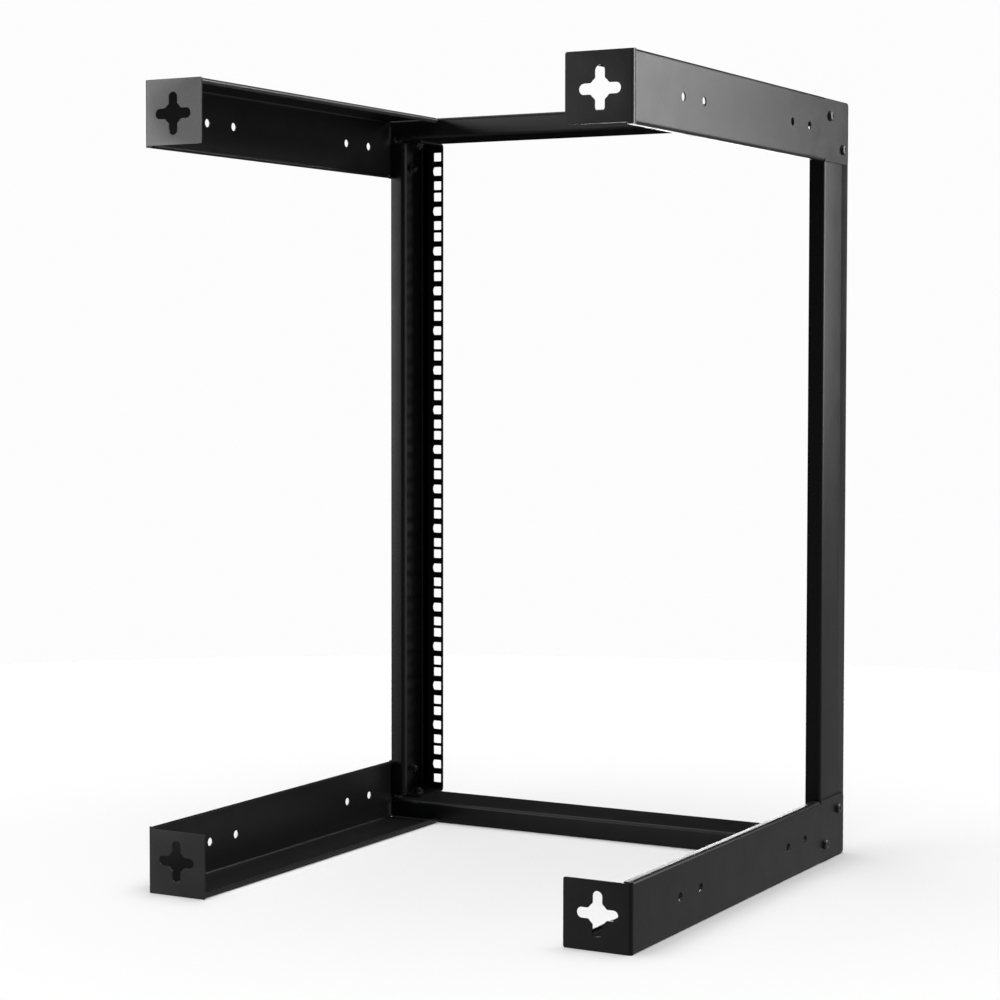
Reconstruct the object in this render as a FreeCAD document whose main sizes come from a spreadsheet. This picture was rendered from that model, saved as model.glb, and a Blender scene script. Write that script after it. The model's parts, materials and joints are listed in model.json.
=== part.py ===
import FreeCAD, Part
import math
import os
from types import SimpleNamespace

import Sketcher

# A wall mount open frame rack for 19-inch equipment, folded from one gauge of sheet steel.
# The origin is on the wall, at the centre of the four wall holes.
# X runs along the wall, +Y runs from the wall to the rack's front, and +Z is up. Millimetres.

SIZES = {
    # the rack opening
    "rack_units": 16,
    "unit_height": 44.45,
    "column_spacing": 465.1,
    "column_inset": 21.45,
    "hole_side": 9.5,
    "unit_parts": 7,
    "step_parts": 2.5,
    "notch_width": 8.0,
    "notch_depth": 1.2,
    # the whole frame
    "frame_depth": 508.0,
    "end_margin": 29.6,
    # the sheet
    "plate": 1.5,
    "inner_bend": 2.0,
    # the arms
    "arm_web": 63.5,
    "arm_web_lip": 8.0,
    "arm_flange": 63.5,
    "arm_flange_lip": 6.0,
    "arm_front_setback": 6.0,
    "arm_post_gap": 2.0,
    "relief_slot": 1.5,
    "tongue_corner": 4.0,
    "side_hole": 8.2,
    "side_hole_pitch": 44.45,
    "side_hole_inset": 31.75,
    "rear_pair_start": 99.2,
    "front_pair_start": 352.0,
    # the wall flanges
    "wall_flange_width": 66.0,
    "wall_flange_corner": 2.0,
    "cross_length": 40.0,
    "cross_slot": 9.5,
    "cross_hub": 20.0,
    "cross_side_inset": 33.0,
    "cross_end_inset": 32.5,
    # the posts
    "post_depth": 68.0,
    "post_front_flange": 28.6,
    "post_rear_flange": 16.0,
    "post_rear_lip": 8.0,
    "post_notch": 3.7,
    "post_end_setback": 2.2,
    "post_relief": 0.5,
    "tab_rear_gap": 18.0,
    "ear_corner": 3.0,
    # the cross members
    "beam_rise": 22.0,
    "beam_lip": 8.0,
    "beam_front_gap": 2.5,
    "beam_face_inset": 22.0,
    "beam_tab_gap": 4.0,
    "beam_tab_corner": 3.0,
    # the fasteners
    "screw": 5.0,
    "screw_clearance": 0.5,
    "thread_play": 0.1,
    "head_diameter": 10.0,
    "head_height": 3.5,
    "head_bevel": 1.0,
    "recess_width": 5.0,
    "recess_slot": 1.2,
    "recess_depth": 1.6,
    "nut_across": 8.0,
    "nut_height": 4.5,
    "nut_collar": 11.5,
    "nut_collar_height": 1.0,
    "screw_end": 2.0,
    "front_bolt_back": 22.5,
    "front_bolt_inset": 49.2,
    "rear_bolt_forward": 10.4,
    "rear_bolt_inset": 17.9,
    "beam_bolt_inset": 17.0,
}


class Size:
    """A length that knows its value and the sheet formula that gives it."""

    def __init__(self, value, formula):
        self.value = value
        self.formula = formula

    def joined(self, sign, other, value):
        return Size(value, "(" + self.formula + " " + sign + " " + as_size(other).formula + ")")

    def __add__(self, other):
        return self.joined("+", other, self.value + as_size(other).value)

    def __sub__(self, other):
        return self.joined("-", other, self.value - as_size(other).value)

    def __mul__(self, other):
        return self.joined("*", other, self.value * as_size(other).value)

    def __truediv__(self, other):
        return self.joined("/", other, self.value / as_size(other).value)

    def __rmul__(self, other):
        return as_size(other) * self

    def __neg__(self):
        return as_size(-1) * self


def as_size(amount):
    """A plain number becomes a size whose formula is that number."""
    if isinstance(amount, Size):
        return amount
    return Size(float(amount), str(float(amount)))


doc = FreeCAD.newDocument("WallRack")
sheet = doc.addObject("Spreadsheet::Sheet", "Sizes")
for row, (alias, amount) in enumerate(SIZES.items(), start=1):
    sheet.set("A" + str(row), alias)
    sheet.set("B" + str(row), str(amount))
    sheet.setAlias("B" + str(row), alias)
doc.recompute()

s = SimpleNamespace(**{alias: Size(float(sheet.get(alias)), "Sizes." + alias) for alias in SIZES})

# A unit has seven parts. Its first hole is one part up, and the others follow every two and a half.
first_hole = s.unit_height / s.unit_parts
hole_step = s.step_parts * first_hole

# Places that several pieces share, measured from the origin.
outer_bend = s.inner_bend + s.plate
half_width = s.column_spacing / 2 + s.column_inset + s.plate
half_height = s.rack_units * s.unit_height / 2 + s.end_margin
post_side = half_width - s.plate
post_rear = s.frame_depth - s.post_depth
beam_level = half_height - s.beam_rise
post_section_half = beam_level - s.post_notch
tab_edge = outer_bend + s.post_relief
stack = 2 * s.plate
screw_hole = s.screw + s.screw_clearance
bolt_places = [
    (s.front_bolt_back, s.front_bolt_inset),
    (s.post_depth - s.rear_bolt_forward, s.rear_bolt_inset),
]


# Sketch and feature helpers

def new_body(name):
    body = doc.addObject("PartDesign::Body", name)
    body.Label = name
    return body


def origin_part(body, role):
    return next(part for part in body.Origin.OriginFeatures if part.Role == role)


def new_sketch(body, name, plane, offset=None):
    """A sketch on one of the body's own planes, moved along that plane's normal by the offset."""
    sketch = body.newObject("Sketcher::SketchObject", name)
    sketch.AttachmentSupport = [(origin_part(body, plane), "")]
    sketch.MapMode = "FlatFace"
    if offset is not None:
        sketch.setExpression("AttachmentOffset.Base.z", offset.formula)
    return sketch


def bind(sketch, kind, *where, size):
    """Adds a dimension and ties it to the sheet."""
    size = as_size(size)
    index = sketch.addConstraint(Sketcher.Constraint(kind, *where, size.value))
    if "Sizes" in size.formula:
        sketch.setExpression("Constraints[" + str(index) + "]", size.formula)


def bind_point(sketch, element, end, x, y):
    """Sets one end (1 or 2) or the centre (3) of a line or arc from the sketch's origin."""
    bind(sketch, "DistanceX", -1, 1, element, end, size=x)
    bind(sketch, "DistanceY", -1, 1, element, end, size=y)


def flat(x, y):
    return FreeCAD.Vector(as_size(x).value, as_size(y).value, 0)


def line(sketch, start, finish):
    return sketch.addGeometry(Part.LineSegment(flat(*start), flat(*finish)))


def polygon(sketch, corners):
    """A closed loop of straight lines, each corner tied to the sheet."""
    count = len(corners)
    first = sketch.GeometryCount
    for number in range(count):
        line(sketch, corners[number], corners[(number + 1) % count])
    for number in range(count):
        following = first + (number + 1) % count
        sketch.addConstraint(Sketcher.Constraint("Coincident", first + number, 2, following, 1))
        bind_point(sketch, first + number, 1, *corners[number])


def rectangle(sketch, left, right, low, high):
    polygon(sketch, [(left, low), (right, low), (right, high), (left, high)])


def circle(sketch, x, y, diameter):
    ring = sketch.addGeometry(Part.Circle(flat(x, y), FreeCAD.Vector(0, 0, 1), diameter.value / 2))
    bind_point(sketch, ring, 3, x, y)
    bind(sketch, "Diameter", ring, size=diameter)


def arc(sketch, x, y, radius, start_degrees, end_degrees):
    """An anticlockwise arc: its end 1 lies at the start angle."""
    whole = Part.Circle(flat(x, y), FreeCAD.Vector(0, 0, 1), as_size(radius).value)
    return sketch.addGeometry(
        Part.ArcOfCircle(whole, math.radians(start_degrees), math.radians(end_degrees)))


def smooth_loop(sketch, lines):
    """Joins the lines end to end in a ring with no kink between neighbours."""
    for number, element in enumerate(lines):
        following = lines[(number + 1) % len(lines)]
        sketch.addConstraint(Sketcher.Constraint("Tangent", element, 2, following, 1))


def slot(sketch, x, y, length, width, turn):
    """A round-ended slot about a centre; turn 0 lies along the sketch's x, turn 90 along its y."""
    straight = (length - width) / 2
    radius = width / 2
    level = turn == 0
    far = (x + straight, y) if level else (x, y + straight)
    near = (x - straight, y) if level else (x, y - straight)
    side = (as_size(0), radius) if level else (-radius, as_size(0))

    def beside(end, sign):
        return end[0] + sign * side[0], end[1] + sign * side[1]

    lines = [
        line(sketch, beside(near, -1), beside(far, -1)),
        arc(sketch, *far, radius, turn - 90, turn + 90),
        line(sketch, beside(far, 1), beside(near, 1)),
        arc(sketch, *near, radius, turn + 90, turn + 270),
    ]
    smooth_loop(sketch, lines)
    bind_point(sketch, lines[1], 3, *far)
    bind_point(sketch, lines[3], 3, *near)
    bind(sketch, "Radius", lines[1], size=radius)


def notch(sketch, edge, y, toward, width, depth):
    """A shallow arc on a chord: width across the chord, depth at its middle, bulging toward x."""
    half_chord = width / 2
    radius = (half_chord * half_chord + depth * depth) / (2 * depth)
    spread = math.degrees(math.asin(half_chord.value / radius.value))
    facing = 0 if toward == 1 else 180
    start = (edge, y + toward * half_chord)
    finish = (edge, y - toward * half_chord)
    chord = line(sketch, start, finish)
    centre = edge - toward * (radius - depth)
    bulge = arc(sketch, centre, y, radius, facing - spread, facing + spread)
    sketch.addConstraint(Sketcher.Constraint("Coincident", chord, 2, bulge, 1))
    sketch.addConstraint(Sketcher.Constraint("Coincident", bulge, 2, chord, 1))
    bind_point(sketch, chord, 1, *start)
    bind_point(sketch, chord, 2, *finish)
    bind(sketch, "Radius", bulge, size=radius)


def pad(body, name, sketch, length, back=False, both_ways=False):
    """Thickens a sketch along its normal, or against it, or half each way."""
    feature = body.newObject("PartDesign::Pad", name)
    feature.Profile = sketch
    feature.setExpression("Length", as_size(length).formula)
    feature.Reversed = back
    feature.Midplane = both_ways
    doc.recompute()
    return feature


def cut_through(body, name, sketch):
    """Cuts a sketch right through the body, both ways from its plane."""
    feature = body.newObject("PartDesign::Pocket", name)
    feature.Profile = sketch
    feature.Type = "ThroughAll"
    feature.Midplane = True
    doc.recompute()
    return feature


def cut(body, name, sketch, depth, back=False):
    """Cuts a sketch to a depth against its normal, or along it."""
    feature = body.newObject("PartDesign::Pocket", name)
    feature.Profile = sketch
    feature.setExpression("Length", as_size(depth).formula)
    feature.Reversed = back
    doc.recompute()
    return feature


NEAR = 1e-4


def edges_along(feature, axis, spots):
    """Names the straight edges along one axis (0, 1 or 2) that pass through the given spots.

    A spot is the edge's other two coordinates, in X, Y, Z order.
    """
    across = [direction for direction in range(3) if direction != axis]
    names = []
    for number, edge in enumerate(feature.Shape.Edges, start=1):
        ends = [tuple(vertex.Point) for vertex in edge.Vertexes]
        if len(ends) != 2 or edge.Curve.TypeId != "Part::GeomLine":
            continue
        for spot in spots:
            target = [as_size(value).value for value in spot]
            if all(abs(end[direction] - target[turn]) < NEAR
                   for end in ends for turn, direction in enumerate(across)):
                names.append("Edge" + str(number))
    return names


def round_edges(body, name, edges, radius):
    """Rounds the named edges of the body's last feature."""
    last = body.Tip
    feature = body.newObject("PartDesign::Fillet", name)
    feature.Base = (last, edges)
    feature.setExpression("Radius", as_size(radius).formula)
    doc.recompute()
    return feature


def bevel_edges(body, name, edges, width):
    """Bevels the named edges of the body's last feature."""
    last = body.Tip
    feature = body.newObject("PartDesign::Chamfer", name)
    feature.Base = (last, edges)
    feature.setExpression("Size", as_size(width).formula)
    doc.recompute()
    return feature


def place(body, x, y, z, axis=(0, 0, 1), degrees=0):
    """Puts a body's own origin at a place of the rack, turned about an axis."""
    turn = FreeCAD.Rotation(FreeCAD.Vector(*axis), degrees)
    body.Placement = FreeCAD.Placement(FreeCAD.Vector(0, 0, 0), turn)
    for letter, size in zip("xyz", (x, y, z)):
        body.setExpression("Placement.Base." + letter, as_size(size).formula)


def build_arm(name, hand):
    """One arm, folded from one blank, drawn from its outer corner at the wall.

    Its web stands outside the post and its flange closes the top or bottom of the rack. Both
    have a lip along the free edge. At the wall the web folds over into the wall flange, and at
    the front it runs on as a flat tongue, which is bolted to the post. Hand is 1 where the
    rack's middle lies along the arm's own +X, and -1 where it lies along -X.
    """
    body = new_body(name)
    flange_end = post_rear - s.arm_post_gap
    tongue_end = s.frame_depth - s.arm_front_setback
    wall_top = s.arm_web - s.plate

    section = new_sketch(body, "arm_section", "XZ_Plane")
    polygon(section, [(hand * x, z) for x, z in [
        (s.arm_flange, s.arm_flange_lip),
        (s.arm_flange, as_size(0)),
        (as_size(0), as_size(0)),
        (as_size(0), s.arm_web),
        (s.arm_web_lip, s.arm_web),
        (s.arm_web_lip, s.arm_web - s.plate),
        (s.plate, s.arm_web - s.plate),
        (s.plate, s.plate),
        (s.arm_flange - s.plate, s.plate),
        (s.arm_flange - s.plate, s.arm_flange_lip),
    ]])
    pad(body, "channel", section, flange_end, back=True)

    wall = new_sketch(body, "wall_flange_outline", "XZ_Plane")
    rectangle(wall, as_size(0), hand * s.wall_flange_width, as_size(0), wall_top)
    channel = pad(body, "wall_flange", wall, s.plate, back=True)

    inner_side = hand * (s.arm_flange - s.plate)
    outer_edges = edges_along(channel, 1, [(0, 0), (0, s.arm_web), (hand * s.arm_flange, 0)])
    outer_edges += edges_along(channel, 2, [(0, 0)])
    bent = round_edges(body, "outer_bends", outer_edges, outer_bend)
    inner_edges = edges_along(bent, 1, [
        (hand * s.plate, s.plate), (hand * s.plate, s.arm_web - s.plate), (inner_side, s.plate)])
    inner_edges += edges_along(bent, 2, [(hand * s.plate, s.plate)])
    round_edges(body, "inner_bends", inner_edges, s.inner_bend)

    tongue = new_sketch(body, "tongue_outline", "YZ_Plane")
    polygon(tongue, [
        (flange_end, as_size(0)),
        (tongue_end, as_size(0)),
        (tongue_end, s.arm_web),
        (flange_end + s.relief_slot, s.arm_web),
        (flange_end + s.relief_slot, s.arm_web - outer_bend),
        (flange_end, s.arm_web - outer_bend),
    ])
    joined = pad(body, "tongue", tongue, s.plate, back=hand < 0)
    front_edges = edges_along(joined, 0, [(tongue_end, 0), (tongue_end, s.arm_web)])
    rounded = round_edges(body, "tongue_corners", front_edges, s.tongue_corner)
    wall_edges = edges_along(rounded, 1, [
        (hand * s.wall_flange_width, 0), (hand * s.wall_flange_width, wall_top)])
    round_edges(body, "wall_flange_corners", wall_edges, s.wall_flange_corner)

    cross_x = hand * s.cross_side_inset
    for turn in (0, 90):
        cross = new_sketch(body, "cross_slot_" + str(turn), "XZ_Plane")
        slot(cross, cross_x, s.cross_end_inset, s.cross_length, s.cross_slot, turn)
        cut_through(body, "cross_cut_" + str(turn), cross)
    hub = new_sketch(body, "cross_hub_circle", "XZ_Plane")
    circle(hub, cross_x, s.cross_end_inset, s.cross_hub)
    cut_through(body, "cross_hub_cut", hub)

    side_holes = new_sketch(body, "side_hole_circles", "YZ_Plane")
    for pair_start in (s.rear_pair_start, s.front_pair_start):
        for step in range(2):
            circle(side_holes, pair_start + step * s.side_hole_pitch, s.side_hole_inset, s.side_hole)
    for back, inset in bolt_places:
        circle(side_holes, s.frame_depth - back, inset, screw_hole)
    cut_through(body, "side_hole_cut", side_holes)
    return body


def build_post(name, hand):
    """One post, folded from one blank, drawn from its web's outer face at its rear, half way up.

    The web carries the front flange with the rack holes and the lipped rear flange. Above and
    below the rack opening the rear flange is notched away, the web runs on as an ear behind the
    arm's tongue, and the front flange folds back into a tab, which the cross member rests on.
    """
    body = new_body(name)
    front = s.post_depth
    section = new_sketch(body, "post_section", "XY_Plane")
    polygon(section, [(hand * x, y) for x, y in [
        (s.post_rear_flange, s.post_rear_lip),
        (s.post_rear_flange, as_size(0)),
        (as_size(0), as_size(0)),
        (as_size(0), front),
        (s.post_front_flange, front),
        (s.post_front_flange, front - s.plate),
        (s.plate, front - s.plate),
        (s.plate, s.plate),
        (s.post_rear_flange - s.plate, s.plate),
        (s.post_rear_flange - s.plate, s.post_rear_lip),
    ]])
    shell = pad(body, "post_shell", section, 2 * post_section_half, both_ways=True)
    outer_edges = edges_along(shell, 2, [(0, 0), (hand * s.post_rear_flange, 0), (0, front)])
    bent = round_edges(body, "outer_bends", outer_edges, outer_bend)
    inner_edges = edges_along(bent, 2, [
        (hand * s.plate, s.plate),
        (hand * (s.post_rear_flange - s.plate), s.plate),
        (hand * s.plate, front - s.plate),
    ])
    round_edges(body, "inner_bends", inner_edges, s.inner_bend)

    for end, end_name in ((1, "top"), (-1, "bottom")):
        ear_end = end * (half_height - s.post_end_setback)
        ear = new_sketch(body, end_name + "_ear_outline", "YZ_Plane")
        rectangle(ear, tab_edge, front - outer_bend, end * post_section_half, ear_end)
        eared = pad(body, end_name + "_ear", ear, s.plate, back=hand < 0)
        corners = edges_along(eared, 0, [(tab_edge, ear_end), (front - outer_bend, ear_end)])
        round_edges(body, end_name + "_ear_corners", corners, s.ear_corner)

        strip = new_sketch(body, end_name + "_strip_outline", "XZ_Plane", -front)
        rectangle(strip, hand * tab_edge, hand * s.post_front_flange,
                  end * post_section_half, end * beam_level)
        pad(body, end_name + "_strip", strip, s.plate)
        tab = new_sketch(body, end_name + "_tab_outline", "XY_Plane", end * beam_level)
        rectangle(tab, hand * tab_edge, hand * s.post_front_flange, s.tab_rear_gap, front)
        folded = pad(body, end_name + "_tab", tab, s.plate, back=end > 0)
        fold = edges_along(folded, 0, [(front, end * beam_level)])
        folded = round_edges(body, end_name + "_fold_outer", fold, outer_bend)
        fold = edges_along(folded, 0, [(front - s.plate, end * (beam_level - s.plate))])
        round_edges(body, end_name + "_fold_inner", fold, s.inner_bend)

    column = hand * s.column_inset
    squares = new_sketch(body, "rack_hole_squares", "XZ_Plane", -front)
    half_hole = s.hole_side / 2
    first = first_hole - s.rack_units * s.unit_height / 2
    for step in range(3):
        level = first + step * hole_step
        rectangle(squares, column - half_hole, column + half_hole, level - half_hole, level + half_hole)
    holes = cut(body, "rack_hole_cut", squares, 2 * s.plate, back=True)
    notches = new_sketch(body, "rack_hole_notch", "XZ_Plane", -front)
    notch(notches, column - hand * half_hole, first + hole_step, -hand,
          s.notch_width, s.notch_depth)
    notched = cut(body, "rack_hole_notch_cut", notches, 2 * s.plate, back=True)
    rows = body.newObject("PartDesign::LinearPattern", "rack_hole_rows")
    rows.Originals = [holes, notched]
    rows.Direction = (origin_part(body, "Z_Axis"), [""])
    rows.setExpression("Length", ((s.rack_units - 1) * s.unit_height).formula)
    rows.setExpression("Occurrences", s.rack_units.formula)
    body.Tip = rows
    doc.recompute()

    web_holes = new_sketch(body, "bolt_hole_circles", "YZ_Plane")
    for end in (1, -1):
        for back, inset in bolt_places:
            circle(web_holes, front - back, end * (half_height - inset), screw_hole)
    cut_through(body, "bolt_hole_cut", web_holes)
    tab_hole = new_sketch(body, "tab_hole_circle", "XY_Plane")
    circle(tab_hole, hand * s.beam_bolt_inset, s.post_depth / 2, screw_hole)
    cut_through(body, "tab_hole_cut", tab_hole)
    return body


def build_cross_member(name):
    """One cross member, folded from one blank, drawn from the middle of its rear lower corner.

    A flat plate reaches forward to the posts' front flanges. Its rear face stands up from the
    plate and ends in a lip that points forward. Both ends of the plate run on as tabs, which
    lie on the posts' tabs.
    """
    body = new_body(name)
    front = s.post_depth - s.plate - s.beam_front_gap
    half_face = post_side - s.beam_face_inset
    section = new_sketch(body, "beam_section", "YZ_Plane")
    polygon(section, [
        (front, as_size(0)),
        (as_size(0), as_size(0)),
        (as_size(0), s.beam_rise),
        (s.beam_lip, s.beam_rise),
        (s.beam_lip, s.beam_rise - s.plate),
        (s.plate, s.beam_rise - s.plate),
        (s.plate, s.plate),
        (front, s.plate),
    ])
    shell = pad(body, "beam_shell", section, 2 * half_face, both_ways=True)
    outer_edges = edges_along(shell, 0, [(0, 0), (0, s.beam_rise)])
    bent = round_edges(body, "outer_bends", outer_edges, outer_bend)
    inner_edges = edges_along(bent, 0, [(s.plate, s.plate), (s.plate, s.beam_rise - s.plate)])
    round_edges(body, "inner_bends", inner_edges, s.inner_bend)

    holes = new_sketch(body, "screw_hole_circles", "XY_Plane")
    tab_end = post_side - s.beam_tab_gap
    for side, side_name in ((1, "right"), (-1, "left")):
        tab = new_sketch(body, side_name + "_tab_outline", "XY_Plane")
        rectangle(tab, side * half_face, side * tab_end, s.tab_rear_gap, front)
        tabbed = pad(body, side_name + "_tab", tab, s.plate)
        corners = edges_along(tabbed, 2, [(side * tab_end, s.tab_rear_gap), (side * tab_end, front)])
        round_edges(body, side_name + "_tab_corners", corners, s.beam_tab_corner)
        circle(holes, side * (post_side - s.beam_bolt_inset), s.post_depth / 2,
               screw_hole)
    cut_through(body, "screw_hole_cut", holes)
    return body


def build_bolt(name):
    """One pan head screw, drawn from under its head, with the head along +Z."""
    body = new_body(name)
    head_outline = new_sketch(body, "head_circle", "XY_Plane")
    circle(head_outline, 0, 0, s.head_diameter)
    head = pad(body, "head", head_outline, s.head_height)
    rims = ["Edge" + str(number) for number, edge in enumerate(head.Shape.Edges, start=1)
            if edge.BoundBox.ZMin > s.head_height.value / 2]
    bevel_edges(body, "head_rim", rims, s.head_bevel)
    shank_outline = new_sketch(body, "shank_circle", "XY_Plane")
    circle(shank_outline, 0, 0, s.screw)
    pad(body, "shank", shank_outline, stack + s.nut_height + s.screw_end, back=True)
    recess = new_sketch(body, "recess_cross", "XY_Plane", s.head_height)
    wide = s.recess_width / 2
    slim = s.recess_slot / 2
    polygon(recess, [
        (wide, -slim), (wide, slim), (slim, slim), (slim, wide), (-slim, wide), (-slim, slim),
        (-wide, slim), (-wide, -slim), (-slim, -slim), (-slim, -wide), (slim, -wide), (slim, -slim),
    ])
    cut(body, "recess", recess, s.recess_depth)
    return body


def build_nut(name):
    """One flanged hexagon nut, drawn from its seat, with its far face along -Z."""
    body = new_body(name)
    hexagon = new_sketch(body, "hexagon", "XY_Plane")
    reach = s.nut_across / math.sqrt(3)
    corners = []
    for corner in range(6):
        angle = math.radians(60 * corner)
        corners.append((math.cos(angle) * reach, math.sin(angle) * reach))
    polygon(hexagon, corners)
    pad(body, "hexagon_block", hexagon, s.nut_height, back=True)
    collar = new_sketch(body, "collar_circle", "XY_Plane")
    circle(collar, 0, 0, s.nut_collar)
    pad(body, "collar", collar, s.nut_collar_height, back=True)
    bore = new_sketch(body, "bore_circle", "XY_Plane")
    circle(bore, 0, 0, s.screw + s.thread_play)
    cut_through(body, "bore", bore)
    return body


# The arms: opposite corners are one part, turned half round about the rack's depth axis.
pieces = []

CORNERS = [("top_left", -1, 1), ("top_right", 1, 1), ("bottom_left", -1, -1), ("bottom_right", 1, -1)]
for corner, side, level in CORNERS:
    arm = build_arm(corner + "_arm", side * level)
    place(arm, side * half_width, 0, level * half_height, (0, 1, 0), 180 if level > 0 else 0)
    pieces.append(arm)

# The posts stand between the arms' tongues.
for side, side_name in ((-1, "left"), (1, "right")):
    post = build_post(side_name + "_post", -side)
    place(post, side * post_side, post_rear, 0)
    pieces.append(post)

# The cross members lie on the posts' end tabs, the lower one turned half round.
for level, level_name in ((1, "top"), (-1, "bottom")):
    beam = build_cross_member(level_name + "_cross_member")
    place(beam, 0, post_rear, level * beam_level, (0, 1, 0), 0 if level > 0 else 180)
    pieces.append(beam)

# Two screws at each corner go through arm and post from outside, and one holds the cross member.
for corner, side, level in CORNERS:
    for number, (back, inset) in enumerate(bolt_places, start=1):
        across = 90 * side
        bolt = build_bolt(corner + "_arm_bolt_" + str(number))
        place(bolt, side * half_width, s.frame_depth - back, level * (half_height - inset),
              (0, 1, 0), across)
        nut = build_nut(corner + "_arm_nut_" + str(number))
        place(nut, side * (half_width - stack), s.frame_depth - back,
              level * (half_height - inset), (0, 1, 0), across)
        pieces += [bolt, nut]
    upright = 0 if level > 0 else 180
    beam_bolt = build_bolt(corner + "_beam_bolt")
    place(beam_bolt, side * (post_side - s.beam_bolt_inset), s.frame_depth - s.post_depth / 2,
          level * (beam_level + s.plate), (0, 1, 0), upright)
    beam_nut = build_nut(corner + "_beam_nut")
    place(beam_nut, side * (post_side - s.beam_bolt_inset), s.frame_depth - s.post_depth / 2,
          level * (beam_level - s.plate), (0, 1, 0), upright)
    pieces += [beam_bolt, beam_nut]

doc.recompute()
for item in doc.Objects:
    if "Invalid" in item.State or "Error" in item.State:
        raise RuntimeError(item.Name + " failed: " + str(item.State))
for piece in pieces:
    if piece.Shape.isNull() or not piece.Shape.isValid() or len(piece.Shape.Solids) != 1:
        raise RuntimeError(piece.Label + " is not one valid solid")

os.makedirs("parts", exist_ok=True)
for piece in pieces:
    piece.Shape.exportStep("parts/" + piece.Label + ".step")
print(len(pieces), "pieces written")
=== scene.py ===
import json
import math

import bmesh
import bpy
import numpy as np
from mathutils.geometry import delaunay_2d_cdt
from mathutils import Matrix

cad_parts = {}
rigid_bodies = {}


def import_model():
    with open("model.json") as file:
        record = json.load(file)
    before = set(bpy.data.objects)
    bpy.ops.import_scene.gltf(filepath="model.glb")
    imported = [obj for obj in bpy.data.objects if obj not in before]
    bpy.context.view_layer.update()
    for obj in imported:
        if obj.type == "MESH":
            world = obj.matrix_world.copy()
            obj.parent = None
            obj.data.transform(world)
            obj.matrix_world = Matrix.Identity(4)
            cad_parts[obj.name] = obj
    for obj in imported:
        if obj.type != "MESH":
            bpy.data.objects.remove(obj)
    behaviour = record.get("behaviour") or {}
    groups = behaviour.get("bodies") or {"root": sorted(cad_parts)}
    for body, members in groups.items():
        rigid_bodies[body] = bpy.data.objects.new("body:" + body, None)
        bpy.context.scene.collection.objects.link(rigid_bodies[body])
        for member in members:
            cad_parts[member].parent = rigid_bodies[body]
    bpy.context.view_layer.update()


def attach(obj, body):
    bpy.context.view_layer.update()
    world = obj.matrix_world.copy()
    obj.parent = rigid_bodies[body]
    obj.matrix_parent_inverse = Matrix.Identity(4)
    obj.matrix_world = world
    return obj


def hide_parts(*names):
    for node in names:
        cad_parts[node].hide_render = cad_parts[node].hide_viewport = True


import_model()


# THE ARMS
# Four arms hold the rack off the wall. Each is one blank of 1.5 mm mild steel, laser cut and
# folded on a press brake: an upright web, a level flange, a lip on each free edge, and a wall
# flange with a cross-shaped hole that closes the corner at the wall.

MM = 0.001
HALF_WIDTH = 255.5
HALF_HEIGHT = 385.2
RACK_FRONT = 508.0
PLATE = 1.5
INNER_BEND = 2.0
OUTER_BEND = INNER_BEND + PLATE
MID_BEND = INNER_BEND + PLATE / 2
BEND_RUN = MID_BEND * math.pi / 2
BEND_FACETS = 8
COATED_EDGE = 0.25
COATED_ANGLE = 50
SAME_PLACE = 1e-5
PAST_LINE = 1e-3


def bend(run, lift):
    """A right-angled bend in the sheet, for points given on the flat blank.

    Run is how far a point lies past the line where the bend starts, and lift is its height above
    the middle of the sheet, towards the outside. Before the line the sheet is straight. Past it,
    the point goes round a circle of the middle radius plus its lift, by an angle of run over
    middle radius, up to a quarter turn, and what is left of the run goes straight on. The first
    result is the way along the first leg from the line, and the second is the depth below the
    first leg's outer face.
    """
    angle = np.clip(run / MID_BEND, 0, math.pi / 2)
    radius = MID_BEND + lift
    along = np.minimum(run, 0) + radius * np.sin(angle)
    below = OUTER_BEND - radius * np.cos(angle) + np.maximum(run - BEND_RUN, 0)
    return along, below


def arc_points(centre, radius, start, end, count=8):
    """Points on an arc: centre plus radius times the cosine and sine of evenly spaced angles."""
    angle = np.radians(np.linspace(start, end, count + 1))
    return np.stack([centre[0] + radius * np.cos(angle), centre[1] + radius * np.sin(angle)], 1)


def round_hole(centre, diameter, count=32):
    """A circle as a ring of points, the last left out because it is the first again."""
    return arc_points(centre, diameter / 2, 0, 360, count)[:-1]


def bend_lines(start, direction, low, high):
    """Lines across the blank, one at each facet of a bend that begins at start.

    Each is a pair of ends (level, low) and (level, high), the levels evenly spaced over the
    bend's run.
    """
    levels = start + direction * BEND_RUN * np.arange(BEND_FACETS + 1) / BEND_FACETS
    return [((level, low), (level, high)) for level in levels]


def inside(points, loops):
    """True for points that an odd number of the loops go round, counted by crossing a ray."""
    odd = np.zeros(len(points), bool)
    for loop in loops:
        ahead = np.roll(loop, -1, axis=0)
        x0, y0 = loop[:, 0][:, None], loop[:, 1][:, None]
        x1, y1 = ahead[:, 0][:, None], ahead[:, 1][:, None]
        px, py = points[:, 0][None], points[:, 1][None]
        spans = (y0 > py) != (y1 > py)
        with np.errstate(divide="ignore", invalid="ignore"):
            crossing = x0 + (py - y0) * (x1 - x0) / (y1 - y0)
        odd ^= (np.sum(spans & (px < crossing), axis=0) % 2).astype(bool)
    return odd


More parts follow.
